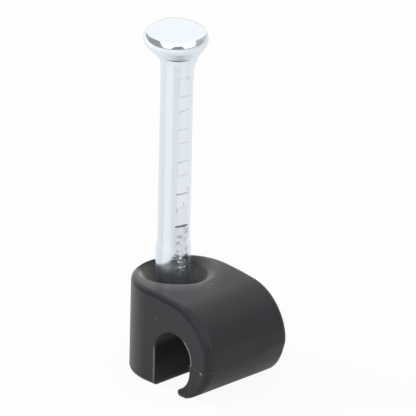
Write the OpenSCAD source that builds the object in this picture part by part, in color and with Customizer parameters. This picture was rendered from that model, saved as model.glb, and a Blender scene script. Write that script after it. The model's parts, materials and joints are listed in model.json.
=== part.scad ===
// Nail-in cable clip: a moulded saddle that hooks over a round cable, with the nail that fixes it
// already standing in its hole. Millimetres. The wall is the plane z = 0 and +Z points away from it.
// The origin is on the nail's axis in the wall plane, +X points to the cable, +Y runs along the cable.

/* [Clip body] */
// Depth of the body along the cable
body_depth = 6.6; // [6.6:0.1:8]
// Height of the top above the wall, around the nail
top_h = 6.05; // [5.95:0.05:6.4]
// Outer radius of the arch over the cable
arch_r = 3.15; // [3:0.05:3.2]
// Outer radius of the leg below the arch's axis, which carries the hook
leg_r = 2.89; // [2.85:0.01:3]
// Distance from the nail's axis to the axis of the arch
arch_x = 3.47; // [3.4:0.01:3.6]
// Height of the arch's axis above the wall
arch_z = 2.75; // [2.65:0.05:2.8]
// Distance from the nail's axis to the axis of the round end
end_x = 1.08; // [0.9:0.02:1.1]
// Rounding of the outer edges of the front and back faces
edge_r = 0.35; // [0.15:0.05:0.4]
// Rounding of the edge that meets the wall
foot_r = 0.2; // [0.05:0.05:0.25]

/* [Cable slot] */
// Radius of the seat that grips the cable
seat_r = 1.54; // [1.4:0.02:1.6]
// Distance from the nail's axis to the axis of the seat
seat_x = 3.46; // [3.42:0.02:3.6]
// Height of the seat's axis above the wall
seat_z = 2.4; // [2.3:0.05:2.5]
// Radius of the hollow above the hook
hook_r = 1.47; // [1.4:0.01:1.5]
// Height of the centre of the hollow above the hook
hook_z = 1.77; // [1.7:0.01:1.85]
// Rounding of the hook's nose
nose_r = 0.24; // [0.18:0.02:0.3]

/* [Nail seat in the body] */
// Diameter of the cup that takes the nail's head
cup_d = 4.24; // [4.24:0.02:4.3]
// Depth of the straight wall below the cup's lip
cup_wall_h = 0.25; // [0.2:0.05:0.4]
// Depth of the cone below it, which the head's own cone comes to lie in
cup_cone_h = 1.35; // [1.3:0.05:1.5]
// Radial room between the nail and its hole
nail_gap = 0.03; // [0.02:0.01:0.06]

/* [Nail] */
// Diameter of the shank
shank_d = 2; // [1.8:0.05:2]
// Diameter of the head
head_d = 3.96; // [3.7:0.02:3.96]
// Radius of the dome on top of the head
dome_r = 2.8; // [2.6:0.05:3.2]
// Height of the dome above the rim's widest line
dome_h = 1.08; // [0.95:0.01:1.1]
// Height of the rim below its widest line
rim_h = 0.2; // [0.1:0.02:0.2]
// Height of the cone under the head
cone_h = 1.22; // [1.2:0.02:1.3]
// Distance of the head's centre from the shank's axis, left by the heading die
head_off = 0.1; // [0:0.02:0.1]
// Length of the nail from its point to the top of its head
nail_len = 22; // [18:0.1:25]
// Height of the point above the wall as the clip is supplied
point_z = 0.55; // [0.2:0.05:1]
// Length of the point
point_len = 2.4; // [1.8:0.1:3]
// Radius of the blunt end of the point
point_r = 0.05; // [0.02:0.01:0.1]

/* [Grip marks] */
// Number of marks that the heading die leaves on each side of the shank
grip_count = 10; // [4:1:10]
// Distance between two marks
grip_pitch = 1.1; // [0.9:0.02:1.1]
// Depth of a mark
grip_depth = 0.06; // [0.02:0.01:0.1]
// Length of a mark along the shank
grip_len = 0.5; // [0.3:0.05:0.7]
// Distance from the head's cone down to the first mark
grip_start = 1.5; // [0.8:0.1:2]
// Turn of the marks about the nail's axis
grip_turn = -16; // [-45:1:45]

/* [Hidden] */
$fn = 96;
half_depth = body_depth / 2;
// The top runs level out of the round end and falls to the arch on one long arc that touches both
crown_r = (pow(arch_x - end_x, 2) + pow(top_h - arch_z, 2) - arch_r * arch_r)
    / (2 * (top_h - arch_z - arch_r));
crown_z = top_h - crown_r;
crown_end = atan2(arch_z - crown_z, arch_x - end_x);
// The arch runs on under the crown by this angle, so that the two are one body
arch_lap = 25;
slot_left = seat_x - seat_r;
hole_r = shank_d / 2 + nail_gap;
cup_r = cup_d / 2;
cup_floor_z = top_h - cup_wall_h - cup_cone_h;
shank_r = shank_d / 2;
head_r = head_d / 2;
head_top_z = point_z + nail_len;
rim_z = head_top_z - dome_h;
neck_z = rim_z - rim_h - cone_h;
// The head leaves the shank's axis towards the round end and the front face
head_shift = [-head_off, -head_off, 0] * sqrt(0.5);
// The nose stands on the wall plane and meets the hollow above it, which it enters by nose_bite
nose_bite = 0.01;
nose_reach = hook_r + nose_r - nose_bite;
nose_x = seat_x + sqrt(pow(nose_reach, 2) - pow(hook_z - nose_r, 2));
nose_meet_z = hook_z - (hook_z - nose_r) * hook_r / nose_reach;
// A length that clears the body on every side, and a cut's run past the surface that it opens
far = 20;
cut_past = 1;

// Half of an upright section: half_depth wide, from the wall up to h, rounded at top and foot
module half_section(h, top_r, bottom_r) {
    translate([0, bottom_r]) square([half_depth, h - top_r - bottom_r]);
    square([half_depth - bottom_r, h / 2]);
    translate([0, h / 2]) square([half_depth - top_r, h / 2]);
    translate([half_depth - top_r, h - top_r]) circle(top_r);
    translate([half_depth - bottom_r, bottom_r]) circle(bottom_r);
}

// The round end that stands around the nail
module round_end() {
    translate([end_x, 0, 0])
        rotate_extrude(angle = 180, start = 90)
            half_section(top_h, edge_r, foot_r);
}

// Half of a curved wall's section, from its axis out to radius r, rounded at its outer edge
module arch_section(r) {
    square([r - edge_r, half_depth]);
    square([r, half_depth - edge_r]);
    translate([r - edge_r, half_depth - edge_r]) circle(edge_r);
}

// A wall of radius r over both halves of the depth, swept from one angle to another, in degrees
// up from +X about an axis along Y
module curved_wall(r, from_angle, to_angle) {
    for (side = [0, 1])
        mirror([0, side, 0])
            rotate([-90, 0, 0])
                rotate_extrude(angle = to_angle - from_angle, start = -to_angle) arch_section(r);
}

// The stretch between the round end and the arch, under the long arc of the top
module crown() {
    intersection() {
        translate([end_x, 0, crown_z]) curved_wall(crown_r, crown_end, 90);
        translate([end_x, 0, 0])
            rotate([90, 0, 90]) linear_extrude(far)
                for (side = [0, 1])
                    mirror([side, 0]) half_section(far, edge_r, foot_r);
    }
}

// The arch over the cable, down to its axis
module arch() {
    translate([arch_x, 0, arch_z]) curved_wall(arch_r, 0, crown_end + arch_lap);
}

// The leg below the arch, which turns in towards the hook and is cut off by the wall plane
module leg() {
    intersection() {
        translate([arch_x + arch_r - leg_r, 0, arch_z]) curved_wall(leg_r, -90, 0);
        translate([0, -far / 2, 0]) cube(far);
    }
}

// Side view of the space for the cable: seat, straight inner wall, hollow and mouth
module slot_outline() {
    difference() {
        union() {
            translate([seat_x, seat_z]) circle(seat_r);
            translate([seat_x, hook_z]) circle(hook_r);
            translate([slot_left, -cut_past]) square([seat_r, seat_z + cut_past]);
            translate([slot_left, -cut_past])
                square([nose_x - slot_left, nose_meet_z + cut_past]);
        }
        translate([nose_x, nose_r]) circle(nose_r);
    }
}

module clip_body() {
    color([0.13, 0.13, 0.14])
        difference() {
            union() {
                round_end();
                crown();
                arch();
                leg();
            }
            translate([0, far / 2, 0]) rotate([90, 0, 0]) linear_extrude(far) slot_outline();
            translate([0, 0, -cut_past]) cylinder(r = hole_r, h = top_h);
            translate([0, 0, cup_floor_z]) cylinder(r1 = hole_r, r2 = cup_r, h = cup_cone_h);
            translate([0, 0, cup_floor_z + cup_cone_h]) cylinder(r = cup_r, h = cup_wall_h + cut_past);
        }
}

// Half of the head's section: dome, rim and the cone that runs into the shank
module head_section() {
    intersection() {
        translate([0, head_top_z - dome_r]) circle(dome_r);
        translate([0, rim_z - rim_h]) square([head_r, dome_h + rim_h]);
    }
    polygon([
        [0, neck_z], [shank_r, neck_z], [head_r, rim_z - rim_h], [0, rim_z - rim_h]
    ]);
}

// One row of flats across a side of the shank, as the die's teeth press them in
module grip_row() {
    for (i = [0:grip_count - 1])
        translate([shank_r - grip_depth, -shank_r, neck_z - grip_start - i * grip_pitch])
            cube([shank_r, shank_d, grip_len]);
}

module nail() {
    color([0.8, 0.83, 0.88])
        difference() {
            union() {
                translate([0, 0, point_z]) cylinder(r1 = point_r, r2 = shank_r, h = point_len);
                translate([0, 0, point_z + point_len])
                    cylinder(r = shank_r, h = rim_z - point_z - point_len);
                translate(head_shift) rotate_extrude() head_section();
            }
            for (side = [0, 180])
                rotate([0, 0, grip_turn + side]) grip_row();
        }
}

clip_body();
nail();
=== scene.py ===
# Nail-in cable clip: a black moulded clip with a zinc-plated nail standing in its cup
# Settings are in millimetres in the CAD frame, and meshes are written in metres
import json
import math

import bmesh
import bpy
import numpy as np
from mathutils import Matrix, Vector


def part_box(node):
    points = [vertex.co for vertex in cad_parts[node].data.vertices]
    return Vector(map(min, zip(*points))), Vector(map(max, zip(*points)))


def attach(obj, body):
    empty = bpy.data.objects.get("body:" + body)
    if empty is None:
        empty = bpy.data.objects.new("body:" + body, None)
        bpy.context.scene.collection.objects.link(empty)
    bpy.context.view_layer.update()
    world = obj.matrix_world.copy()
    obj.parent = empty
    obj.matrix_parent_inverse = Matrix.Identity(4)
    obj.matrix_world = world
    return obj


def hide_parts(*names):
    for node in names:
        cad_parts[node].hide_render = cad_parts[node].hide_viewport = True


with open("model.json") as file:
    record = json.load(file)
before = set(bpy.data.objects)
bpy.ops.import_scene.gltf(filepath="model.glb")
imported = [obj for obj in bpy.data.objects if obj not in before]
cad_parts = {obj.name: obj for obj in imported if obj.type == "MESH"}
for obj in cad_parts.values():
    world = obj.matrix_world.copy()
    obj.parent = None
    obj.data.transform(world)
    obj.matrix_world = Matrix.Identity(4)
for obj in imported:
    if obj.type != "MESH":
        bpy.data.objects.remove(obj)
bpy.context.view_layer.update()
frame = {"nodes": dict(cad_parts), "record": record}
perMetre = 1000.0  # millimetres in a metre
slack = 1e-9  # room for rounding errors when lengths are compared
clipLow, clipHigh = (np.array(corner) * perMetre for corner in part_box("clip_body"))
nailLow, nailHigh = (np.array(corner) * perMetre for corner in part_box("nail"))
mounts = {mount["name"]: mount for mount in frame["record"]["mounts"]}
print("frame loaded:", ", ".join(sorted(frame["nodes"])))


# Shared helpers

def smooth(low, high, value):
    # 0 below low, 1 above high, and an even S between them
    t = np.clip((value - low) / (high - low), 0, 1)
    return t * t * (3 - 2 * t)


def window(limits, value):
    # rises from 0 to 1 between the first two of four limits, and falls back to 0 between the last two
    return smooth(*limits[:2], value) * (1 - smooth(*limits[2:], value))


def wander(u, v, seed, size=64):
    # soft bumps from -1 to 1: a seeded table of heights, blended smoothly between its four nearest entries
    table = np.random.default_rng(seed).uniform(-1, 1, (size, size))
    i, j = np.floor(u).astype(int), np.floor(v).astype(int)
    a, b = smooth(0, 1, u - i), smooth(0, 1, v - j)
    low = table[i % size, j % size] * (1 - a) + table[(i + 1) % size, j % size] * a
    high = table[i % size, (j + 1) % size] * (1 - a) + table[(i + 1) % size, (j + 1) % size] * a
    return low * (1 - b) + high * b


def pieceLength(piece):
    # a line's distance from end to end, or an arc's radius times its turn
    if len(piece) == 4:
        return math.hypot(piece[2] - piece[0], piece[3] - piece[1])
    return piece[2] * math.radians(abs(piece[4] - piece[3]))


def walk(path, along):
    # points and left-hand normals at distances along a path of lines (x0, z0, x1, z1) and arcs
    # (centre x, centre z, radius, from, to) in degrees
    points = np.zeros(along.shape + (2,))
    normals = np.zeros(along.shape + (2,))
    start = 0.0
    for number, piece in enumerate(path):
        length = pieceLength(piece)
        here = (along >= start) | (number == 0)
        share = (along[here] - start) / length
        if number < len(path) - 1:
            share = np.clip(share, None, 1)
        if len(piece) == 4:
            run = np.array([piece[2] - piece[0], piece[3] - piece[1]])
            points[here] = np.array(piece[:2]) + share[:, None] * run
            normals[here] = np.array([-run[1], run[0]]) / length
        else:
            angle = np.radians(piece[3] + share * (piece[4] - piece[3]))
            spoke = np.stack([np.cos(angle), np.sin(angle)], -1)
            points[here] = np.array(piece[:2]) + piece[2] * spoke
            normals[here] = spoke * (1 if piece[4] < piece[3] else -1)
        start += length
    return points, normals


def pathEnds(path):
    # distance from the start of a path to the end of each of its pieces
    return np.cumsum([pieceLength(piece) for piece in path])


def gridQuads(index):
    # a quad between every four neighbours in a grid of point numbers
    corners = [index[:-1, :-1], index[:-1, 1:], index[1:, 1:], index[1:, :-1]]
    return np.stack(corners, -1).reshape(-1, 4)


weldGap = 2e-7  # points closer than this, in metres, become one
sliverGap = 1e-7  # edges shorter than this are dropped
sharpTurn = 38  # edges that turn further than this, in degrees, are shaded sharp


def weldedMesh(name, grids, marks, closed=False, fillFloor=False):
    # one mesh from grids of points in millimetres: quads between neighbours, doubles merged, faces outward.
    # marks gives, for each attribute, one array of vertex values per grid
    points, faces, start = [], [], 0
    for grid in grids:
        rows, cols = grid.shape[:2]
        index = start + np.arange(rows * cols).reshape(rows, cols)
        if closed:
            index = np.concatenate([index, index[:, :1]], axis=1)
        faces.append(gridQuads(index))
        points.append(grid.reshape(-1, 3))
        start += rows * cols
    mesh = bpy.data.meshes.new(name)
    mesh.from_pydata((np.concatenate(points) / perMetre).tolist(), [], np.concatenate(faces).tolist())
    for mark, values in marks.items():
        layer = mesh.attributes.new(mark, "FLOAT", "POINT")
        layer.data.foreach_set("value", np.concatenate([v.ravel() for v in values]).astype(np.float32))
    shape = bmesh.new()
    shape.from_mesh(mesh)
    bmesh.ops.remove_doubles(shape, verts=shape.verts, dist=weldGap)
    bmesh.ops.dissolve_degenerate(shape, edges=shape.edges, dist=sliverGap)
    if fillFloor:
        rims = [edge for edge in shape.edges if edge.is_boundary]
        bmesh.ops.triangle_fill(shape, use_beauty=True, edges=rims)
    bmesh.ops.recalc_face_normals(shape, faces=shape.faces)
    openEdges = sum(edge.is_boundary for edge in shape.edges)
    shape.to_mesh(mesh)
    shape.free()
    mesh.shade_smooth()
    mesh.set_sharp_from_angle(angle=math.radians(sharpTurn))
    piece = bpy.data.objects.new(name, mesh)
    bpy.context.scene.collection.objects.link(piece)
    print(f"{name}: {len(mesh.vertices)} vertices, {len(mesh.polygons)} faces, {openEdges} open edges")
    return piece


# Clip body

clip = dict(
    archR=3.15, legR=2.89, archZ=2.75,  # outer arch, and the leg below its axis
    crownEdge=0.35, archEdge=0.5, tipEdge=0.05, slotEdge=0.05, footEdge=0.2,  # rounding of the edges
    softRun=(-0.6, 1.2), thinRun=(1.2, 0.1),  # it softens about the arch's start, and thins down the leg
    hookR=1.47, hookZ=1.77, hookBack=0.05, ledgeZ=2.29,  # hollow above the hook, and the ledge over it
    noseR=0.24, noseTurn=200,  # nose of the hook, and the turn at which skin and slot meet on it
    cupR=2.13, cupWall=0.2, cupFloor=4.2, holeR=1.07,  # seat of the nail: short wall, cone and hole
    lipWide=2.24, lipWideTurns=(60, 125, 145, 178),  # the lip widens beside the nail, by turn from the cable
    lipTurn=52, rimPast=1.25,  # turn of the lip's rounding, and how far past the crown the skin ends on it
    lipThin=0.04, lipMid=0.5, lipSoft=0.8,  # rounding of the lip: in front, over the cable, at the back
    lipMidTurns=(0, 35), lipSoftTurns=(90, 130),  # turns from the cable over which these change
    creaseStep=0.035, creaseWidth=0.05, creaseFall=0.13,  # step of the mould across the leg's face
    creaseRun=(-1.4, -0.2, 0.5, 1.2), creaseBack=(0.5, 0.1),  # its run past the cusp, and its fade in depth
    partStep=0.07, partRise=(-0.82, -0.12, 0, 2.2),  # step of the mould round the back, by height
    partDepth=(0.6, 2.1), partOut=(2.0, 2.6),  # by depth along the cable and distance from the arch's axis
    cupPaintedSheen=16.0, cupNear=0.2, cupTurns=(60, 150),  # painted sheen that lightens the cup's walls, and its share over the cable
    lipPaintedSheen=0.15, lipDeep=0.55,  # share of that painted sheen at the lip, and the depth at which it is full
    rimPaintedSheen=3.0, rimWide=1.3,  # painted sheen that lightens the level rim round the cup
    slotPaintedShade=0.5, slotEdgeRows=10,  # less bloom in the slot, as painted shade, behind the rows of its edge; elsewhere 1
    flashLeft=0.65, flashRight=0.9, flashCusp=1.6, flashFoot=0.5, paleLip=1.0,  # flash left on the edges, and a pale line on the cup's lip
    leftFoot=(0.15, 0.3), leftTop=(-0.1, 0.3),  # the left flash fades in above the foot and out at the top
    rightFrom=0.65, rightFade=0.3, cuspWide=0.12, footWide=0.1,  # run of the right flash, width of the others
    paleLipTurns=(-142, -130, -84, -68), broadFrom=1.0,  # turns of the lip's pale line, and start of the broad flash
    dashFrom=(5.86, 2.12), dashTo=(6.02, 2.03), dashWide=0.08, dashCore=0.3,  # curl of flash in front
    edgeMost=0.8, lipMost=0.5,  # most of a ray that the rounding of the edge and of the lip may take
    edgeRows=8, spanRows=30, lipRows=7, capColumns=48,  # rows over the edge, the skin, the lip and the front
    seatRows=(3, 18, 12),  # rows down the cup's wall, its cone and the hole
)
halfDepth = clipHigh[1]
topZ = clipHigh[2]
endX = clipLow[0] + halfDepth
archX = clipHigh[0] - clip["archR"]
seatX, seatZ = (mounts["cable_seat"]["pos_m"][axis] * perMetre for axis in (0, 2))
seatR = mounts["cable_seat"]["dims"]["r_mm"]


def crownPath():
    # the outer skin seen from the side, from the nail over the cable and down to the hook's nose: a long
    # arc that leaves the level top and touches the arch, the arch, the leg, its flat foot and the nose
    rise, run = topZ - clip["archZ"], archX - endX
    crownR = (run ** 2 + rise ** 2 - clip["archR"] ** 2) / (2 * (rise - clip["archR"]))
    meet = math.degrees(math.atan2(clip["archZ"] - topZ + crownR, run))
    legX = archX + clip["archR"] - clip["legR"]
    legEnd = -math.degrees(math.asin(clip["archZ"] / clip["legR"]))
    footX = legX + clip["legR"] * math.cos(math.radians(legEnd))
    return [
        (endX, topZ - crownR, crownR, 90, meet),
        (archX, clip["archZ"], clip["archR"], meet, 0),
        (legX, clip["archZ"], clip["legR"], 0, legEnd),
        (footX, 0, noseX, 0),
        (noseX, clip["noseR"], clip["noseR"], 270, clip["noseTurn"]),
    ]


def slotPath():
    # the cable's space seen from the side: straight wall, seat, small ledge, hollow above the hook and nose
    seatEnd = math.degrees(math.asin((clip["ledgeZ"] - seatZ) / seatR))
    hookStart = math.degrees(math.asin((clip["ledgeZ"] - clip["hookZ"]) / clip["hookR"]))
    toNose = math.degrees(math.atan2(clip["noseR"] - clip["hookZ"], noseX - hookX))
    return [
        (seatX - seatR, 0, seatX - seatR, seatZ),
        (seatX, seatZ, seatR, 180, seatEnd),
        (seatX + seatR * math.cos(math.radians(seatEnd)), clip["ledgeZ"],
         hookX + clip["hookR"] * math.cos(math.radians(hookStart)), clip["ledgeZ"]),
        (hookX, clip["hookZ"], clip["hookR"], hookStart, toNose),
        (noseX, clip["noseR"], clip["noseR"], toNose + 180, clip["noseTurn"]),
    ]


hookX = seatX - clip["hookBack"]
noseX = hookX + math.sqrt((clip["hookR"] + clip["noseR"]) ** 2 - (clip["hookZ"] - clip["noseR"]) ** 2)
skin, slot = crownPath(), slotPath()
skinEnds, slotEnds = pathEnds(skin), pathEnds(slot)
quarter = halfDepth * math.pi / 2  # length of the round end from the middle to the front face
rimRun = skinEnds[0] + clip["rimPast"]  # length of the outer edge whose rays end on the cup's lip
lipPlan = math.sin(math.radians(clip["lipTurn"]))  # share of the lip's rounding radius that lies in plan


def skinEdge(q, behind):
    # rounding of the outer edge along the skin: softer down the front of the arch, thin at the hook's nose
    soft = smooth(*np.add(skinEnds[0], clip["softRun"]), q) * (not behind)
    fade = smooth(*np.add(skinEnds[1:3], clip["thinRun"]), q)
    edge = clip["crownEdge"] * (1 - soft) + clip["archEdge"] * soft
    return edge * (1 - fade) + clip["tipEdge"] * fade


def rounding(radius, depth):
    # how far a quarter-round edge stands back at a depth behind its face
    left = np.clip(radius - depth, 0, radius)
    return radius - np.sqrt(radius ** 2 - left ** 2)


def wallPoint(w, z):
    # the upright wall unrolled: w runs from the middle of the round end to the front face and along it
    turn = np.clip(w, None, quarter) / halfDepth
    r = halfDepth - rounding(clip["footEdge"], z)
    x = endX - r * np.cos(turn) + np.clip(w - quarter, 0, None)
    return np.stack([x, -r * np.sin(turn), z], -1)


def pairing():
    # which point of the slot's edge is joined to which point of the outer edge, by distance along each,
    # and how many columns lie between two such pairs. The slot's wall faces the round end, its seat the top
    # and the arch, and its hook the leg
    corner = topZ - clip["crownEdge"]
    level = corner + quarter
    degree = seatR * math.radians(1)
    pairs = [
        # along the slot's edge, along the outer edge, columns since the pair before
        (0, 0, 0),
        (clip["footEdge"], clip["footEdge"], 7),
        (slotEnds[0], 0.63 * corner, 36),
        (slotEnds[0] + 45 * degree, corner, 22),
        (slotEnds[0] + 75 * degree, level, 64),
        (slotEnds[0] + 100 * degree, level + skinEnds[0], 34),
        (slotEnds[0] + 120 * degree, level + rimRun, 20),
        (slotEnds[1], level + skinEnds[1] + 0.65, 60),
        (slotEnds[2], level + skinEnds[1] + 0.8, 6),
        (slotEnds[3], level + skinEnds[2], 46),
        (slotEnds[4], level + skinEnds[4], 18),
    ]
    inner, outer = [np.zeros(1)], [np.zeros(1)]
    for (s0, t0, _), (s1, t1, count) in zip(pairs, pairs[1:]):
        inner.append(np.linspace(s0, s1, count + 1)[1:])
        outer.append(np.linspace(t0, t1, count + 1)[1:])
    return np.concatenate(inner), np.concatenate(outer), corner


def cableTurn(x, y):
    # turn about the nail from the cable's side, in degrees, the same in front and behind
    return np.degrees(np.arctan2(np.abs(y), x))


def lipRadius(x, y):
    # radius of the cup's lip by its turn from the cable: wider beside the nail, close at the round end
    wider = window(clip["lipWideTurns"], cableTurn(x, y))
    return clip["cupR"] + (clip["lipWide"] - clip["cupR"]) * wider


def lipRounding(x, y, behind):
    # rounding of the cup's lip by its turn: thin on the front, soft on the back beside the cable
    near = smooth(*clip["lipMidTurns"], cableTurn(x, y))
    far = smooth(*clip["lipSoftTurns"], cableTurn(x, y))
    size = clip["lipSoft"] if behind else clip["lipThin"]
    size = clip["lipMid"] + (size - clip["lipMid"]) * near
    return size + (clip["lipThin"] - size) * far


def rayRows(length, edge, lean, lip, lipLean):
    # distances along each ray: round the outer edge, evenly across, and round the lip at its far end.
    # lean is the cosine between the ray and the straight way in, at either end
    edgeReach = np.minimum(edge / lean, clip["edgeMost"] * length)
    turn = np.arccos(1 - edgeReach * lean / edge)
    share = np.linspace(0, 1, clip["edgeRows"] + 1)[:, None]
    first = edge * (1 - np.cos(share * turn)) / lean
    lipReach = np.minimum(lip / lipLean, clip["lipMost"] * (length - edgeReach))
    share = np.linspace(0, 1, clip["spanRows"] + 1)[1:, None]
    second = edgeReach + (length - lipReach - edgeReach) * share
    share = np.linspace(0, 1, clip["lipRows"] + 1)[1:, None]
    third = length - lipReach * (1 - np.sin(share * math.pi / 2))
    return np.concatenate([first, second, third])


def outerSkin(q, behind):
    # the top, arch and leg: rays on the unrolled skin from the outer edge to the cup's lip or, past the
    # cup, to the middle; each point is then set on the skin and lowered by the rounding of edge and lip
    cupR = clip["cupR"]
    turn = np.clip(q, None, quarter) / halfDepth
    past = np.clip(q - quarter, 0, None)
    inward = np.stack([np.cos(turn), np.sin(turn)], -1)
    edgePoint = np.stack([endX - halfDepth * np.cos(turn) + past, -halfDepth * np.sin(turn)], -1)
    rho = endX * np.cos(turn) + np.sqrt(cupR ** 2 - (endX * np.sin(turn)) ** 2)
    joinRun = skinEnds[1]
    spin = math.acos(endX / cupR) * np.clip(1 - past / rimRun, 0, 1)
    rimPoint = np.stack([endX - rho * np.cos(turn), -rho * np.sin(turn)], -1)
    rimPast = cupR * np.stack([np.cos(spin), -np.sin(spin)], -1)
    midRun = np.clip((past - rimRun) / (joinRun - rimRun), 0, 1)
    middle = cupR + midRun * (endX + joinRun - cupR) + np.clip(past - joinRun, 0, None)
    midPoint = np.stack([middle, np.zeros_like(middle)], -1)
    onRim = past <= rimRun + slack
    goal = np.where((past <= 0)[:, None], rimPoint, np.where(onRim[:, None], rimPast, midPoint))
    goal = goal * np.where(onRim, lipRadius(goal[:, 0], goal[:, 1]) / cupR, 1)[:, None]
    ray = goal - edgePoint
    length = np.linalg.norm(ray, axis=1)
    ray = ray / length[:, None]
    lean = (ray * inward).sum(1)
    lipLean = np.where(onRim, -(ray * goal).sum(1) / np.linalg.norm(goal, axis=1), ray[:, 1])
    lip = lipPlan * lipRounding(goal[:, 0], goal[:, 1], behind)
    along = rayRows(length, skinEdge(past, behind), lean, lip, lipLean)
    flat = edgePoint + along[:, :, None] * ray
    x, y = flat[..., 0], flat[..., 1]
    run = np.clip(x - endX, 0, None)
    spot, normal = walk(skin, run)
    spot[..., 0] += np.clip(x - endX, None, 0)
    depth = np.where(x < endX, halfDepth - np.hypot(x - endX, y), halfDepth + y)
    back = rounding(skinEdge(run, behind), depth)
    spot = spot - normal * back[..., None]
    lipSize = lipRounding(x, y, behind)
    spot[..., 1] -= rounding(lipSize, np.hypot(x, y) - lipRadius(x, y) + lipSize * (1 - lipPlan))
    return np.stack([spot[..., 0], y, spot[..., 1]], -1), onRim


def slotSkin(s):
    # the inside of the cable's space: its outline carried along the depth, rounded at the front edge
    spot, normal = walk(slot, s)
    normal = -normal
    front = halfDepth - np.where(s < clip["footEdge"], rounding(clip["footEdge"], s), 0)
    edge = np.full_like(s, clip["slotEdge"])
    one = np.ones_like(s)
    along = rayRows(front, edge, one, one * clip["lipMid"] * lipPlan, one)
    back = rounding(edge, along)
    flat = spot[None] - normal[None] * back[..., None]
    return np.stack([flat[..., 0], along - front, flat[..., 1]], -1)


def frontWall(s, t, corner, behind):
    # the front face and half of the round end: straight rays on the unrolled wall from the slot's edge to
    # the start of the outer rounding, or to the middle of the round end
    spot, normal = walk(slot, s)
    start = spot + normal * clip["slotEdge"]
    start[:, 0] += quarter - endX
    q = t - corner
    past = np.clip(q - quarter, 0, None)
    spot, normal = walk(skin, past)
    end = spot - normal * skinEdge(past, behind)[:, None]
    end[:, 0] += quarter - endX
    end[q < quarter] = np.stack([q, np.full_like(q, corner)], -1)[q < quarter]
    end[q < 0] = np.stack([np.zeros_like(t), t], -1)[q < 0]
    share = np.linspace(0, 1, clip["capColumns"] + 1)[:, None, None]
    flat = start + (end - start) * share
    return wallPoint(flat[..., 0], flat[..., 1])


def nailSeat(rim):
    # the cup, its cone and the hole: rings about the nail's axis on an outline that runs from the lip down a
    # short wall, in along the cone and down the hole to the wall plane
    lip = np.hypot(rim[:, 0], rim[:, 1])
    turnedFoot = rim[:, 2] - (lip - clip["cupR"]) * math.tan(math.radians(clip["lipTurn"]))
    wallFoot = np.minimum(topZ - clip["cupWall"], turnedFoot)
    one = np.ones_like(lip)
    corners = [(lip, rim[:, 2]), (clip["cupR"] * one, wallFoot),
               (clip["holeR"] * one, clip["cupFloor"] * one), (clip["holeR"] * one, 0 * one)]
    r, z = [lip[None]], [rim[None, :, 2]]
    for (r0, z0), (r1, z1), rows in zip(corners, corners[1:], clip["seatRows"]):
        share = np.linspace(0, 1, rows + 1)[1:, None]
        r.append(r0 + (r1 - r0) * share)
        z.append(z0 + (z1 - z0) * share)
    r, z = np.concatenate(r) / lip, np.concatenate(z)
    return np.stack([rim[:, 0] * r, rim[:, 1] * r, z], -1)


def mouldMarks(grid):
    # the mould's step across the leg's face, from the cusp of the slot out towards the arch
    x, y, z = grid[..., 0], grid[..., 1], grid[..., 2]
    cusp = walk(slot, slotEnds[1:2])[0][0]
    below = (cusp[1] - clip["creaseFall"] * (x - cusp[0]) - z) / math.hypot(1, clip["creaseFall"])
    step = smooth(0, clip["creaseWidth"], below) * window(clip["creaseRun"], x - cusp[0])
    step = step * smooth(*np.subtract(halfDepth, clip["creaseBack"]), -y)
    moved = grid.copy()
    moved[..., 1] += clip["creaseStep"] * step
    return moved


def partingStep(grid):
    # the mould's step where the arch ends above the leg: the back of the arch swells a little and stops short
    x, y, z = grid[..., 0], grid[..., 1], grid[..., 2]
    swell = window(clip["partRise"], z - clip["archZ"])
    swell = swell * smooth(*clip["partDepth"], y) * smooth(*clip["partOut"], x - archX)
    moved = grid.copy()
    moved[..., 0] += clip["partStep"] * swell
    return moved


def edgeFlash(s):
    # flash along the slot's edge: up the straight wall, down the seat's far side, at the cusp and at the foot
    wallTop, cuspAt = slotEnds[:2]
    left = clip["flashLeft"] * window((*clip["leftFoot"], *np.add(wallTop, clip["leftTop"])), s)
    start = wallTop + clip["rightFrom"] * (cuspAt - wallTop)
    right = clip["flashRight"] * smooth(start, start + clip["rightFade"], s) * (s < cuspAt)
    cusp = clip["flashCusp"] * np.exp(-((s - cuspAt) / clip["cuspWide"]) ** 2)
    foot = clip["flashFoot"] * np.exp(-(s / clip["footWide"]) ** 2)
    return np.max([left, right, cusp, foot], axis=0)


def lipPaleLine(rim):
    # a pale line on the cup's lip, on the front beside the round end
    turn = np.degrees(np.arctan2(rim[:, 1], rim[:, 0]))
    return clip["paleLip"] * window(clip["paleLipTurns"], turn)


def dashFlash(grid):
    # a curl of flash on the front face where the crease runs out
    start, end = np.array(clip["dashFrom"]), np.array(clip["dashTo"])
    spot = np.stack([grid[..., 0], grid[..., 2]], -1) - start
    share = np.clip(spot @ (end - start) / ((end - start) @ (end - start)), 0, 1)
    off = np.linalg.norm(spot - share[..., None] * (end - start), axis=-1)
    return 1 - smooth(clip["dashCore"] * clip["dashWide"], clip["dashWide"], off)


def cupPaintedSheen(grid):
    # painted sheen that lightens the cup: full at the round end, and less over the cable and at the lip
    turn = cableTurn(grid[..., 0], grid[..., 1])
    share = clip["cupNear"] + (1 - clip["cupNear"]) * smooth(*clip["cupTurns"], turn)
    deep = 1 - smooth(topZ - clip["lipDeep"], topZ, grid[..., 2])
    return clip["cupPaintedSheen"] * share * (clip["lipPaintedSheen"] + (1 - clip["lipPaintedSheen"]) * deep)


def lipShare(top, behind):
    # how far each point of the skin lies down the rounding of the cup's lip
    x, y = top[..., 0], top[..., 1]
    return (1 - smooth(0, lipRounding(x, y, behind), np.hypot(x, y) - lipRadius(x, y))) ** 2


def rimPaintedSheen(top):
    # painted sheen that lightens the level rim round the cup, and fades out away from the lip
    out = np.hypot(top[..., 0], top[..., 1]) - lipRadius(top[..., 0], top[..., 1])
    return clip["rimPaintedSheen"] * (1 - smooth(0, clip["rimWide"], out))


def onRows(grid, values, rows):
    # a mark that is the given values on some rows of a grid and nothing on the others
    mark = np.zeros(grid.shape[:2])
    mark[rows] = values
    return mark


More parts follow.
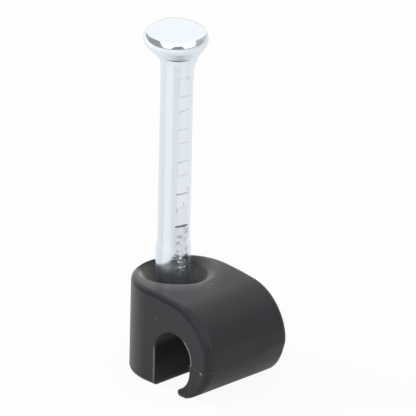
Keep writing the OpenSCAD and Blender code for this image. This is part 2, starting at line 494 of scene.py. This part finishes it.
def makeClipBody():
    # four grids for the front half, which are wall, skin, slot and nail's seat, and their mirror for the back
    s, t, corner = pairing()
    thread = edgeFlash(s)
    broad = thread * (s > slotEnds[0] + clip["broadFrom"])
    halves, bloomAndPaintedSheen, flash = [], [], []
    for behind in (False, True):
        top, onRim = outerSkin(t[t >= corner - slack] - corner, behind)
        wall, inside, seat = frontWall(s, t, corner, behind), slotSkin(s), nailSeat(top[-1][onRim])
        half = [mouldMarks(grid) for grid in (wall, top, inside, seat)]
        half = [grid * np.array([1, -1 if behind else 1, 1]) for grid in half]
        halves += [partingStep(grid) if behind else grid for grid in half]
        # the satin bloom of the skin, raised as painted sheen that lightens the cup and the level rim round
        # it; in the slot it is lowered as painted shade
        outer = 1 + cupPaintedSheen(top) * lipShare(top, behind) + rimPaintedSheen(top)
        inner = np.ones(inside.shape[:2])
        inner[clip["slotEdgeRows"]:] = clip["slotPaintedShade"]
        bloomAndPaintedSheen += [np.ones(wall.shape[:2]), outer, inner, cupPaintedSheen(seat)]
        lip = lipPaleLine(seat[0]) * (not behind)
        lips = np.zeros(top.shape[1])
        lips[onRim] = lip
        edge = onRows(wall, thread, slice(0, 1)) + onRows(wall, broad, slice(1, 3))
        flash += [
            np.maximum(edge, dashFlash(wall) * (not behind)),
            onRows(top, lips, slice(-clip["lipRows"] - 1, None)),
            onRows(inside, thread, slice(0, clip["edgeRows"] // 2)),
            onRows(seat, lip, slice(0, 1)),
        ]
    return weldedMesh("clipBody", halves, {"bloomAndPaintedSheen": bloomAndPaintedSheen, "flash": flash}, fillFloor=True)


# Nail

nail = dict(
    shankR=1.0, domeR=2.9, creaseR=1.82,  # the dome ends at a crease
    rimR=1.0, rimTop=35, rimEnd=5, turnR=0.35, turnEnd=-20, turnRun=0.15,  # rim, turned in at its foot
    underTurn=-39, underBend=0.03, neckFillet=0.05,  # cone under the rim, down to the shank
    faceWay=-44.5, faceNeckZ=20.31, faceTurn=-48, faceReach=1.0,  # the cone has two flatter faces
    headOff=0.11, headWay=225.5, headZ=(20.4, 21.3),  # the head's top sits off the axis, this way from +X
    flare=0.18, flareWay=45, flareSpan=60, flareLen=0.42,  # die flash under one side of the head
    flareTop=20.05, flareOver=0.3, flareLeast=1e-3,  # where it starts, and how far up it runs
    swell=0.05, swellLen=0.6,  # the shank is a little thicker all round below the head
    clampSwell=0.08, clampZ=(4.6, 5.4, 7.5, 8.2),  # and at the end that was clamped in the cup
    pointLen=2.4, pointR=0.05,  # point, and its blunt end
    gripWay=-14, gripTop=19.15, gripLong=1.24, gripShort=0.91, gripEdge=0.03,  # marks of the heading die
    gripPress=(0.085, 0.03, 0.02, 0.075, 0.02, 0.075, 0.03, 0.09, 0.075),  # depth of the flat below a tooth
    gripLine=(0.3, 0.32, 0.36, 0.32, 0.32, 0.5, 0.3, 0.8, 0.35, 0.9),  # how strongly each tooth cut in
    gripSlant=(0.03, 0, 0.05, 0, 0, 0.03, 0, 0, 0, 0),  # how far each cut rises from its middle to its end
    gripThick=(1, 1, 1, 1, 1, 1, 1, 1.3, 1, 1.6),  # how broad each cut is, in widths of a tooth's edge
    gripCut=0.02, gripSpan=22, gripFade=(-5, 3),  # depth of the cuts, half their span, fade of their ends
    flatReach=70,  # a flat ends within this turn from its middle
    gripBorder=0.09, borderWide=1.6, borderPress=(0.05, 0.07),  # painted shade along the borders of the deeper flats
    highlightTurn=28, highlightSpan=(35, 55),  # painted highlight: one side beside the flats is also left without the streaks' shade
    highlightPress=(0.01, 0.03), lastRub=0.12,  # depth at which a flat gets the painted highlight, and wear of the last one
    scuffZ=(5.2, 6.7, 9.15, 9.35), scuffSpan=(20, 36),  # crumples of the clamped end
    scuffSize=0.13, scuffStretch=0.6, scuffFine=(2.1, 1.2), scuffFineShare=0.5,  # coarse and fine crumples
    scuffShift=20, scuffSeeds=(5, 9), scuffDeep=0.009, scuffSink=0.6,  # their draw, depth and mean level
    scuffGrey=0.25, scuffWorn=(0.1, 0.9),  # grey of the whole patch, and of the crumples that stand out
    nickDeep=0.014,  # nicks at its foot, each by height, turn from +X, half width and half height
    nicks=((7.1, -29, 0.08, 0.03), (7.04, -17, 0.1, 0.03), (7.14, -3, 0.09, 0.03), (6.72, -24, 0.07, 0.035),
           (6.68, -5, 0.03, 0.05), (6.42, -8, 0.03, 0.03), (6.2, 0, 0.03, 0.04)),
    scoreWide=2.2, scoreDark=0.5,  # scratches, each by height, turn from the marks' middle and half height
    scores=((19.12, 14, 0.14), (11.73, 23, 0.16), (10.77, 7, 0.12), (10.42, -22.5, 0.12)),
    crescentZ=20.38, crescentHigh=0.08, crescentSpan=42, crescentDark=0.85,  # painted shade of the gap at the neck
    crescentSoft=(0.5, 1.1), crescentThin=2e-3,  # its soft border, and where it is too thin to draw
    seamTurn=-10.5, seamSpan=1.6, seamZ=(20.45, 20.55, 20.8, 20.9), seamDark=0.15,  # faint seam up the cone
    bandWay=-70, bandSpan=(10.5, 16.5),  # painted highlight: a band along the shank, on both sides, left without the streaks' shade
    drawnTop=(-0.1, 0.3),  # the streaks of the drawn wire end about the neck
    mattLow=(-0.05, 0.1), mattTop=(-0.1, 0.05),  # the underside is matt from the neck to the foot of the rim
    dullEnd=0.5, dullZ=(6.3, 7.0),  # the end that was clamped in the cup is dull
    pieceRows=(34, 40, 14, 4, 4, 50, 5, 2, 26, 3),  # rows along each piece of the outline
    cornerRows=(-0.05, -0.012, 0.012, 0.05),  # at each of its corners
    neckRun=0.6, neckStep=0.03, shankStep=0.2, scuffOver=0.1, scuffStep=0.035,  # along the shank
    markRows=11, toothReach=3, scoreReach=0.2,  # and about each tooth and scratch
    aroundCount=160,
)


def onTurn(degrees):
    # unit vector in the outline's plane at an angle up from level
    return np.array([math.cos(math.radians(degrees)), math.sin(math.radians(degrees))])


def nailPath():
    # half of the nail's outline from the middle of the dome down: dome to its crease, rim, a tighter turn
    # under it, a short slope, a bend, the cone, a small fillet, the shank, the point and its blunt end
    domeZ = nailHigh[2] - nail["domeR"]
    creaseTurn = math.degrees(math.acos(nail["creaseR"] / nail["domeR"]))
    crease = np.array([0, domeZ]) + nail["domeR"] * onTurn(creaseTurn)
    rim = crease - nail["rimR"] * onTurn(nail["rimTop"])
    turn = rim + (nail["rimR"] - nail["turnR"]) * onTurn(nail["rimEnd"])
    slopeStart = turn + nail["turnR"] * onTurn(nail["turnEnd"])
    slopeEnd = slopeStart + nail["turnRun"] * onTurn(nail["turnEnd"] - 90)
    bend = slopeEnd - nail["underBend"] * onTurn(nail["turnEnd"])
    coneStart = bend + nail["underBend"] * onTurn(nail["underTurn"])
    # the fillet touches the cone from outside and the shank, so its centre stands off both by its radius
    outward = onTurn(nail["underTurn"])
    reach = coneStart @ outward + nail["neckFillet"]
    filletR = nail["shankR"] + nail["neckFillet"]
    fillet = np.array([filletR, (reach - filletR * outward[0]) / outward[1]])
    coneEnd = fillet - nail["neckFillet"] * outward
    pointTop = nailLow[2] + nail["pointLen"]
    return [
        (0, domeZ, nail["domeR"], 90, creaseTurn),
        (*rim, nail["rimR"], nail["rimTop"], nail["rimEnd"]),
        (*turn, nail["turnR"], nail["rimEnd"], nail["turnEnd"]),
        (*slopeStart, *slopeEnd),
        (*bend, nail["underBend"], nail["turnEnd"], nail["underTurn"]),
        (*coneStart, *coneEnd),
        (*fillet, nail["neckFillet"], 180 + nail["underTurn"], 180),
        (nail["shankR"], fillet[1], nail["shankR"], pointTop),
        (nail["shankR"], pointTop, nail["pointR"], nailLow[2]),
        (nail["pointR"], nailLow[2], 0, nailLow[2]),
    ]


def gripLines():
    # heights of the die's teeth, in pairs with a long and a short gap by turns
    number = np.arange(len(nail["gripLine"]))
    pair = nail["gripLong"] + nail["gripShort"]
    return nail["gripTop"] - (number // 2) * pair - (number % 2) * nail["gripLong"]


def nailRows(ends, neckZ):
    # distances along the outline: evenly along each piece, and close together at its corners, below the neck,
    # about the teeth and scratches and over the scuffs
    neck, shankEnd, last = ends[6], ends[7], ends[9]
    teeth = neck + neckZ - gripLines()
    scores = neck + neckZ - np.array([score[0] for score in nail["scores"]])
    scuffTop = neck + neckZ - nail["scuffZ"][3] - nail["scuffOver"]
    scuffEnd = neck + neckZ - nail["scuffZ"][0]
    close = np.linspace(-1, 1, nail["markRows"])
    starts = np.concatenate([[0], ends])
    rows = [np.linspace(*span) for span in zip(starts, ends, nail["pieceRows"])]
    rows += [
        np.add.outer(ends[:7], nail["cornerRows"]).ravel(),
        np.arange(neck, neck + nail["neckRun"], nail["neckStep"]),
        np.arange(neck, shankEnd, nail["shankStep"]),
        np.add.outer(teeth, nail["toothReach"] * nail["gripEdge"] * close).ravel(),
        np.add.outer(scores, nail["scoreReach"] * close).ravel(),
        np.arange(scuffTop, scuffEnd, nail["scuffStep"]),
    ]
    rows = np.unique(np.round(np.concatenate(rows), 4))
    return rows[rows <= last]


def awayFrom(degrees, way):
    # angle from a direction, from -180 to 180 degrees
    return (degrees - way + 180) % 360 - 180


def headForm(r, z, degrees, bendZ):
    # the outline carried round: the cone cut flatter on its two faces, die flash that widens one side of the
    # neck and runs out down the shank, and the shank swollen below the head and at its clamped end
    rise = math.tan(math.radians(-nail["faceTurn"]))
    face = np.maximum(nail["shankR"], nail["shankR"] + (z - nail["faceNeckZ"]) * rise)
    cut = np.where(z < bendZ, np.maximum(r - face, 0), 0) * (z > nail["faceNeckZ"] - nail["faceReach"])
    radius = r - cut * np.cos(np.radians(awayFrom(degrees, nail["faceWay"]))) ** 2
    under = np.clip(nail["flareTop"] - z, 0, None)
    below = z < nail["flareTop"] + nail["flareOver"]
    turn = np.clip(awayFrom(degrees, nail["flareWay"]) / nail["flareSpan"] * 90, -90, 90)
    flare = nail["flare"] * np.exp(-under / nail["flareLen"]) * np.cos(np.radians(turn)) ** 2
    flare = (flare + nail["swell"] * np.exp(-under / nail["swellLen"])) * below
    flare = flare + nail["clampSwell"] * window(nail["clampZ"], z)
    return np.where(flare > nail["flareLeast"], np.maximum(radius, nail["shankR"] + flare), radius)


def dieMarks(radius, z, degrees):
    # on two sides of the shank each tooth cuts a line, with a flat below it, and the clamped end is crumpled.
    # returns the radius, the painted shade in the cuts and along the flats' borders with the dark scratches,
    # the rubbed places and the painted highlights on the flats and one side
    lines = gripLines()
    edge = nail["gripEdge"] / 2
    press = np.zeros_like(z)
    for top, low, deep in zip(lines, lines[1:], nail["gripPress"]):
        press += deep * window((low - edge, low + edge, top - edge, top + edge), z)
    last = window((lines[-1], lines[-1] + edge, lines[-2] - edge, lines[-2]), z)
    paintedShadeAndScratches, rubbed, paintedHighlights = np.zeros_like(radius), np.zeros_like(radius), np.zeros_like(radius)
    for way in (nail["gripWay"], nail["gripWay"] + 180):
        away = awayFrom(degrees, way)
        aside = np.abs(away)

        # the teeth's cuts, and the flats between them
        line = np.zeros_like(radius)
        teeth = zip(lines, nail["gripLine"], nail["gripSlant"], nail["gripThick"])
        for height, strength, slant, thick in teeth:
            off = (z - height - slant * away / nail["gripSpan"]) / (nail["gripEdge"] * thick)
            span = nail["gripSpan"] * math.sqrt(thick)
            cut = strength * np.exp(-off ** 2) * (1 - smooth(*np.add(span, nail["gripFade"]), aside))
            line = np.maximum(line, cut)
        chord = (nail["shankR"] - press) / np.cos(np.radians(np.minimum(aside, nail["flatReach"])))
        radius = np.where((aside < nail["flatReach"]) & (press > 0), np.minimum(radius, chord), radius)
        radius = radius - nail["gripCut"] * line
        border = np.degrees(np.arccos(1 - press / nail["shankR"]))
        border = np.exp(-((aside - border) / nail["borderWide"]) ** 2) * smooth(*nail["borderPress"], press)
        # the cuts and the borders of the flats are darkened as painted shade of their steps
        paintedShadeAndScratches = np.maximum(paintedShadeAndScratches, np.maximum(line, nail["gripBorder"] * border))

        # painted highlight where the streaks are left off, and what was rubbed
        across = 1 - smooth(*np.add(nail["gripSpan"], nail["gripFade"]), aside)
        side = 1 - smooth(*nail["highlightSpan"], np.abs(away - nail["highlightTurn"]))
        paintedHighlights = np.maximum(paintedHighlights, np.maximum(side, across * smooth(*nail["highlightPress"], press)))
        rubbed = np.maximum(rubbed, nail["lastRub"] * across * last)

        # crumples, nicks and scratches
        patch = (1 - smooth(*nail["scuffSpan"], aside)) * window(nail["scuffZ"], z)
        u = np.radians(away) * nail["shankR"] / nail["scuffSize"] + nail["scuffShift"]
        v = z / nail["scuffSize"] + 0 * u
        coarse = wander(u, nail["scuffStretch"] * v, nail["scuffSeeds"][0])
        fine = wander(nail["scuffFine"][0] * u, nail["scuffFine"][1] * v, nail["scuffSeeds"][1])
        crumple = coarse + nail["scuffFineShare"] * fine
        radius = radius + nail["scuffDeep"] * patch * (crumple - nail["scuffSink"])
        worn = nail["scuffGrey"] + (1 - nail["scuffGrey"]) * smooth(*nail["scuffWorn"], crumple)
        rubbed = np.maximum(rubbed, patch * worn)
        for height, turn, wide, high in nail["nicks"]:
            off = (np.radians(away - turn + nail["gripWay"]) / wide) ** 2 + ((z - height) / high) ** 2
            radius = radius - nail["nickDeep"] * np.exp(-off)
        for height, turn, high in nail["scores"]:
            off = ((away - turn) / nail["scoreWide"]) ** 2 + ((z - height) / high) ** 4
            paintedShadeAndScratches = np.maximum(paintedShadeAndScratches, nail["scoreDark"] * np.exp(-off))
    return radius, paintedShadeAndScratches, rubbed, paintedHighlights


def neckMarks(z, degrees):
    # painted shade under the head: a dark lens-shaped gap at the neck of each face; and a faint seam up the
    # cone
    away = np.abs(awayFrom(degrees, nail["faceWay"]))
    away = np.minimum(away, 180 - away)
    half = nail["crescentHigh"] * np.clip(1 - (away / nail["crescentSpan"]) ** 2, 0, 1)
    off = np.abs(z - nail["crescentZ"]) / np.maximum(half, nail["crescentThin"])
    gap = (1 - smooth(*nail["crescentSoft"], off)) * (half > nail["crescentThin"])
    seam = np.exp(-(awayFrom(degrees, nail["faceWay"] + nail["seamTurn"]) / nail["seamSpan"]) ** 2)
    seam = seam * window(nail["seamZ"], z)
    return np.maximum(nail["crescentDark"] * gap, nail["seamDark"] * seam)


def makeNail():
    # the outline turned about the axis as one closed grid, with its marks pressed in and the head moved aside
    path = nailPath()
    ends = pathEnds(path)
    rimFootZ, coneTopZ, neckZ = path[2][1], path[5][1], path[6][1]
    outline, _ = walk(path, nailRows(ends, neckZ))
    r, z = outline[:, :1], outline[:, 1:]
    around = np.linspace(0, 2 * math.pi, nail["aroundCount"], endpoint=False)[None]
    degrees = np.degrees(around)
    radius = headForm(r, z, degrees, coneTopZ)
    radius, paintedShadeAndScratches, rubbed, paintedHighlights = dieMarks(radius, z, degrees)
    paintedShadeAndScratches = np.maximum(paintedShadeAndScratches, neckMarks(z, degrees))
    # the streaks' shade is left off a band on both sides and off the flats: painted highlights
    band = np.abs(awayFrom(degrees, nail["bandWay"]))
    streaksBesidePaintedHighlights = smooth(*nail["bandSpan"], np.minimum(band, 180 - band))
    streaksBesidePaintedHighlights = streaksBesidePaintedHighlights * (1 - smooth(*np.add(neckZ, nail["drawnTop"]), z)) * (1 - paintedHighlights)
    matt = window((*np.add(neckZ, nail["mattLow"]), *np.add(rimFootZ, nail["mattTop"])), z)
    matt = matt + nail["dullEnd"] * (1 - smooth(*nail["dullZ"], z)) + 0 * radius
    shift = nail["headOff"] * smooth(*nail["headZ"], z)
    way = math.radians(nail["headWay"])
    x = radius * np.cos(around) + shift * math.cos(way)
    y = radius * np.sin(around) + shift * math.sin(way)
    marks = {"paintedShadeAndScratches": [paintedShadeAndScratches], "rubbed": [rubbed], "streaksBesidePaintedHighlights": [streaksBesidePaintedHighlights], "matt": [matt]}
    return weldedMesh("nailSteel", [np.stack([x, y, z + 0 * x], -1)], marks, closed=True)


clipBody = makeClipBody()
nailSteel = makeNail()
for piece, body, node, finish in ((clipBody, "clip", "clip_body", "clip_plastic"),
                                  (nailSteel, "nail", "nail", "nail_steel")):
    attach(piece, body)
    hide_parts(node)


# Materials

def linear(hexColour):
    # an sRGB hex value as linear red, green, blue and alpha
    channels = [int(hexColour[i:i + 2], 16) / 255 for i in (1, 3, 5)]
    return [c / 12.92 if c <= 0.04045 else ((c + 0.055) / 1.055) ** 2.4 for c in channels] + [1.0]


def addNode(tree, kind, inputs=None, **settings):
    # one node with its own settings; an input is a constant or the output socket that feeds it.
    # a Mix of colours takes its share at 0 and the colours at 6 and 7, and gives the result at output 2
    node = tree.nodes.new("ShaderNode" + kind)
    for key, value in settings.items():
        setattr(node, key, value)
    for key, value in (inputs or {}).items():
        if isinstance(value, bpy.types.NodeSocket):
            tree.links.new(value, node.inputs[key])
        else:
            node.inputs[key].default_value = value
    return node


def bareTree(owner):
    # the emptied node tree of a material or a world
    owner.use_nodes = True
    owner.node_tree.nodes.clear()
    return owner.node_tree


def newMaterial(name):
    # a material with its node tree, its shader and the place on the piece, in metres
    material = bpy.data.materials.new(name)
    material.use_nodes = True
    tree = material.node_tree
    shader = tree.nodes["Principled BSDF"]
    where = addNode(tree, "TexCoord").outputs["Object"]
    return material, tree, shader, where


plastic = dict(
    colour="#1b1b21", pale="#22222a", foot="#6a5a4c", flash="#9a948c", speck="#a79f92",
    rough=0.38, roughSpan=0.06, ior=1.44, specular=0.5,
    bloomAndPaintedSheen=0.1, bloomRough=0.5, bloomTint="#fffdf4",  # satin bloom; its weight also scales the painted sheen in the cup and on its rim
    cloud=1.1, cloudDetail=3.0,  # clouding of the colour
    grain=0.09, grainDetail=2.0, grainDeep=0.006, grainBump=0.4,  # sparked grain, drawn coarse enough to show
    footHigh=0.25,  # height of the warm brown tint at the foot
    speckGap=0.55, speckSize=0.08, speckCore=0.6,  # gap between specks, and their radius in gaps
    speckLeast=0.6,  # only places that draw more than this have one
)


def blackPolyethylene():
    # polyethylene moulded against a fine sparked steel face: deep grey-black, a little clouded, with a satin
    # bloom that is raised as painted sheen in the cup and on its rim and lowered as painted shade in the
    # slot, pale flash on its sharp edges, a pale line on the cup's lip, a warm brown tint towards its foot
    # and a few pale specks
    material, tree, shader, where = newMaterial("blackMouldedPolyethylene")
    marks = {mark: addNode(tree, "Attribute", attribute_name=mark).outputs["Fac"]
             for mark in ("bloomAndPaintedSheen", "flash")}
    cloud, grain = (addNode(tree, "TexNoise", {
        "Vector": where, "Scale": perMetre / plastic[size],
        "Detail": plastic[size + "Detail"]}).outputs["Fac"] for size in ("cloud", "grain"))
    height = addNode(tree, "SeparateXYZ", {"Vector": where}).outputs["Z"]
    foot = addNode(tree, "MapRange", {
        "Value": height, "From Min": 0.0, "From Max": plastic["footHigh"] / perMetre,
        "To Min": 1.0, "To Max": 0.0})
    cells = addNode(tree, "TexVoronoi", {"Vector": where, "Scale": perMetre / plastic["speckGap"]})
    picked = addNode(tree, "Math", {
        0: cells.outputs["Color"], 1: plastic["speckLeast"]}, operation="GREATER_THAN")
    speck = addNode(tree, "MapRange", {
        "Value": cells.outputs["Distance"], "From Min": plastic["speckSize"] * plastic["speckCore"],
        "From Max": plastic["speckSize"], "To Min": picked.outputs[0], "To Max": 0.0})
    tone = linear(plastic["colour"])
    for share, colour in ((cloud, "pale"), (foot.outputs[0], "foot"), (marks["flash"], "flash"),
                          (speck.outputs[0], "speck")):
        tone = addNode(tree, "Mix", {
            0: share, 6: tone, 7: linear(plastic[colour])}, data_type="RGBA").outputs[2]
    rough = addNode(tree, "MapRange", {
        "Value": grain, "To Min": plastic["rough"] - plastic["roughSpan"],
        "To Max": plastic["rough"] + plastic["roughSpan"]})
    # sheen weight: the satin bloom, with painted sheen in the cup and on its rim and painted shade in the
    # slot
    sheen = addNode(tree, "Math", {0: marks["bloomAndPaintedSheen"], 1: plastic["bloomAndPaintedSheen"]}, operation="MULTIPLY")
    bump = addNode(tree, "Bump", {
        "Strength": plastic["grainBump"], "Distance": plastic["grainDeep"] / perMetre, "Height": grain})
    tree.links.new(tone, shader.inputs["Base Color"])
    tree.links.new(rough.outputs[0], shader.inputs["Roughness"])
    tree.links.new(sheen.outputs[0], shader.inputs["Sheen Weight"])
    tree.links.new(bump.outputs["Normal"], shader.inputs["Normal"])
    shader.inputs["IOR"].default_value = plastic["ior"]
    shader.inputs["Specular IOR Level"].default_value = plastic["specular"]
    shader.inputs["Sheen Roughness"].default_value = plastic["bloomRough"]
    shader.inputs["Sheen Tint"].default_value = linear(plastic["bloomTint"])
    return material


zinc = dict(
    # the darkest colour is painted shade in the cuts, along the flats and at the neck, and the colour of the
    # dark scratches
    colour="#f2f8ff", shade="#e1e9f2", rubbed="#aeb5bc", paintedShadeAndScratches="#4e4a46",
    rough=0.13, roughMatt=0.45,
    drawWidth=0.3, drawLength=14.0, drawDetail=2.0,  # streaks of the drawn wire
    streakFrom=0.35, streakFull=0.65, streakLeast=0.5,  # and how much of the shade they take
)


def brightZinc():
    # bright zinc plating on drawn wire: pale blue-white metal with faint streaks along the draw, matt under
    # the head, with painted highlights where the streaks are left off, grey where it was rubbed, and painted
    # shade in the cuts of the teeth and at the neck
    material, tree, shader, where = newMaterial("brightZincPlating")
    shader.inputs["Metallic"].default_value = 1.0
    stretch = addNode(tree, "Mapping", {
        "Vector": where, "Scale": [perMetre / zinc["drawWidth"]] * 2 + [perMetre / zinc["drawLength"]]})
    streak = addNode(tree, "TexNoise", {
        "Vector": stretch.outputs[0], "Scale": 1.0, "Detail": zinc["drawDetail"]})
    marks = {mark: addNode(tree, "Attribute", attribute_name=mark).outputs["Fac"]
             for mark in ("streaksBesidePaintedHighlights", "rubbed", "paintedShadeAndScratches", "matt")}
    faint = addNode(tree, "MapRange", {
        "Value": streak.outputs["Fac"], "From Min": zinc["streakFrom"], "From Max": zinc["streakFull"],
        "To Min": zinc["streakLeast"]})
    faint = addNode(tree, "Math", {0: faint.outputs[0], 1: marks["streaksBesidePaintedHighlights"]}, operation="MULTIPLY")
    tone = linear(zinc["colour"])
    for share, colour in ((faint.outputs[0], "shade"), (marks["rubbed"], "rubbed"),
                          (marks["paintedShadeAndScratches"], "paintedShadeAndScratches")):
        tone = addNode(tree, "Mix", {
            0: share, 6: tone, 7: linear(zinc[colour])}, data_type="RGBA").outputs[2]
    dull = addNode(tree, "MapRange", {
        "Value": marks["matt"], "To Min": zinc["rough"], "To Max": zinc["roughMatt"]})
    tree.links.new(tone, shader.inputs["Base Color"])
    tree.links.new(dull.outputs[0], shader.inputs["Roughness"])
    return material


clipBody.data.materials.append(blackPolyethylene())
nailSteel.data.materials.append(brightZinc())
print("materials made")


# Studio

studio = dict(
    azimuth=45.5, elevation=24.2, roll=1.15, perMillimetre=16.5, picture=416,  # the photograph's view
    originPixel=(171.23, 360.69),  # where the origin of the frame lies in the photograph
    distance=1000.0, clipNear=10.0, clipFar=10000.0,  # the camera's distance and range
    white="#ffffff", skyGlow=0.62,
    floorSize=900.0, floorColour="#808080", floorPale="#f8f8f8", floorSeen=0.93, floorMirrored=0.15,
    keyWay=(-0.75, -0.45, 0.5), keySize=150.0, keyPower=0.45,
    fillWay=(0.65, -0.64, 0.41), fillSize=200.0, fillPower=0.3, lampDistance=400.0,
    cardRows=9, cardColumns=41,
)


def makeCamera():
    # a camera without perspective at the photograph's angle, turned a little about its own axis, aimed so
    # that the frame's origin falls on its pixel
    a, e, roll = (math.radians(studio[key]) for key in ("azimuth", "elevation", "roll"))
    right = Vector((math.cos(a), math.sin(a), 0))
    up = Vector((-math.sin(a) * math.sin(e), math.cos(a) * math.sin(e), math.cos(e)))
    back = right.cross(up)
    camRight = right * math.cos(roll) + up * math.sin(roll)
    camUp = up * math.cos(roll) - right * math.sin(roll)
    half = studio["picture"] / 2
    offX = (half - studio["originPixel"][0]) / studio["perMillimetre"]
    offY = (studio["originPixel"][1] - half) / studio["perMillimetre"]
    place = camRight * offX + camUp * offY + back * studio["distance"]
    data = bpy.data.cameras.new("camera")
    data.type = "ORTHO"
    data.ortho_scale = studio["picture"] / studio["perMillimetre"] / perMetre
    data.clip_start = studio["clipNear"] / perMetre
    data.clip_end = studio["clipFar"] / perMetre
    camera = bpy.data.objects.new("camera", data)
    bpy.context.scene.collection.objects.link(camera)
    turn = Matrix((camRight, camUp, back)).transposed().to_4x4()
    camera.matrix_world = Matrix.Translation(place / perMetre) @ turn
    bpy.context.scene.camera = camera


def stageMesh(name, grid, material):
    # a sheet of the studio: one grid of points in millimetres
    faces = gridQuads(np.arange(grid[..., 0].size).reshape(grid.shape[:2]))
    mesh = bpy.data.meshes.new(name)
    mesh.from_pydata((grid.reshape(-1, 3) / perMetre).tolist(), [], faces.tolist())
    mesh.materials.append(material)
    sheet = bpy.data.objects.new(name, mesh)
    bpy.context.scene.collection.objects.link(sheet)
    return sheet


def makeFloor():
    # a pale sheet that keeps the shadow: matt where light falls on it, paler where it is seen or mirrored,
    # and with a share of plain white for the camera
    material = bpy.data.materials.new("whiteFloorSheet")
    tree = bareTree(material)
    path = addNode(tree, "LightPath")
    mirrored = addNode(tree, "Math", {
        0: path.outputs["Is Glossy Ray"], 1: path.outputs["Is Transmission Ray"]}, operation="MAXIMUM")
    seen = addNode(tree, "Math", {
        0: mirrored.outputs[0], 1: path.outputs["Is Camera Ray"]}, operation="MAXIMUM")
    tone = addNode(tree, "Mix", {
        0: seen.outputs[0], 6: linear(studio["floorColour"]),
        7: linear(studio["floorPale"])}, data_type="RGBA")
    share = addNode(tree, "Math", {
        0: path.outputs["Is Camera Ray"], 1: studio["floorSeen"]}, operation="MULTIPLY")
    share = addNode(tree, "Math", {
        0: mirrored.outputs[0], 1: studio["floorMirrored"], 2: share.outputs[0]}, operation="MULTIPLY_ADD")
    sheet = addNode(tree, "BsdfDiffuse", {"Color": tone.outputs[2]})
    glow = addNode(tree, "Emission", {"Color": linear(studio["white"]), "Strength": 1.0})
    mix = addNode(tree, "MixShader", {0: share.outputs[0], 1: sheet.outputs[0], 2: glow.outputs[0]})
    addNode(tree, "OutputMaterial", {"Surface": mix.outputs[0]})
    half = studio["floorSize"] / 2
    x, y = np.meshgrid([-half, half], [-half, half])
    stageMesh("floor", np.stack([x, y, 0 * x], -1), material)


cards = (
    # name, turns to the right of the camera at the foot and at the top, rises above the floor, distance, glow
    ("cardLeft", (-112, -41), (-104, -72), (5.5, 45), 600.0, 0.33),
    ("cardFarLeft", (-146, -112), (-112, -104), (0.5, 30), 600.0, 0.4),
    ("cardRight", (70, 113), (88, 106), (5.5, 42), 600.0, 0.48),
    ("cardFarRight", (113, 142), (106, 113), (0.5, 26), 600.0, 0.55),
    ("cardLens", (-17, 31), (-4, 23), (5.5, 24), 580.0, 0.26),
    ("cardLow", (-112, 113), (-112, 113), (0.5, 5.5), 600.0, 0.3),
    ("panel", (-70, 90), (-80, 96), (5.5, 50), 640.0, 1.35),
)


def makeCards():
    # grey cards round the object and a white panel above the lens, as mirrored in the nail: each is part of a
    # drum about the nail, between two turns at its foot, two at its top, and two rises
    for name, footTurns, topTurns, rises, distance, glow in cards:
        material = bpy.data.materials.new(name)
        tree = bareTree(material)
        light = addNode(tree, "Emission", {"Color": linear(studio["white"]), "Strength": glow})
        addNode(tree, "OutputMaterial", {"Surface": light.outputs[0]})
        foot, top = (np.linspace(*turns, studio["cardColumns"]) for turns in (footTurns, topTurns))
        share = np.linspace(0, 1, studio["cardRows"])[:, None]
        angle = np.radians(foot + (top - foot) * share + studio["azimuth"] - 90)
        z = distance * np.tan(np.radians(rises[0] + (rises[1] - rises[0]) * share)) + 0 * angle
        drum = np.stack([distance * np.cos(angle), distance * np.sin(angle), z], -1)
        sheet = stageMesh(name, drum, material)
        sheet.visible_camera = False
        sheet.visible_diffuse = name != "panel"


def makeLamp(name, way, size, power):
    # a softbox that only matt surfaces see; its power is the brightness that it gives a white sheet
    way = Vector(way).normalized()
    reach = studio["lampDistance"] / perMetre
    data = bpy.data.lights.new(name, "AREA")
    data.size = size / perMetre
    data.energy = power * math.pi * math.pi * reach ** 2
    lamp = bpy.data.objects.new(name, data)
    lamp.matrix_world = Matrix.Translation(way * reach) @ way.to_track_quat("Z", "Y").to_matrix().to_4x4()
    lamp.visible_camera = False
    lamp.visible_glossy = False
    bpy.context.scene.collection.objects.link(lamp)


def makeSky():
    # a white tent: plain white where it is seen or mirrored, and a little less as light
    world = bpy.data.worlds.new("whiteTent")
    bpy.context.scene.world = world
    tree = bareTree(world)
    path = addNode(tree, "LightPath")
    seen = addNode(tree, "Math", {
        0: path.outputs["Is Camera Ray"], 1: path.outputs["Is Glossy Ray"]}, operation="ADD")
    seen = addNode(tree, "Math", {
        0: seen.outputs[0], 1: path.outputs["Is Transmission Ray"]}, operation="ADD", use_clamp=True)
    light = addNode(tree, "MapRange", {
        "Value": seen.outputs[0], "To Min": studio["skyGlow"], "To Max": 1.0})
    sky = addNode(tree, "Background", {"Color": linear(studio["white"]), "Strength": light.outputs[0]})
    addNode(tree, "OutputWorld", {"Surface": sky.outputs[0]})


makeCamera()
makeFloor()
makeCards()
makeLamp("key", studio["keyWay"], studio["keySize"], studio["keyPower"])
makeLamp("fill", studio["fillWay"], studio["fillSize"], studio["fillPower"])
makeSky()
bpy.context.scene.view_settings.view_transform = "Standard"
print("studio set")
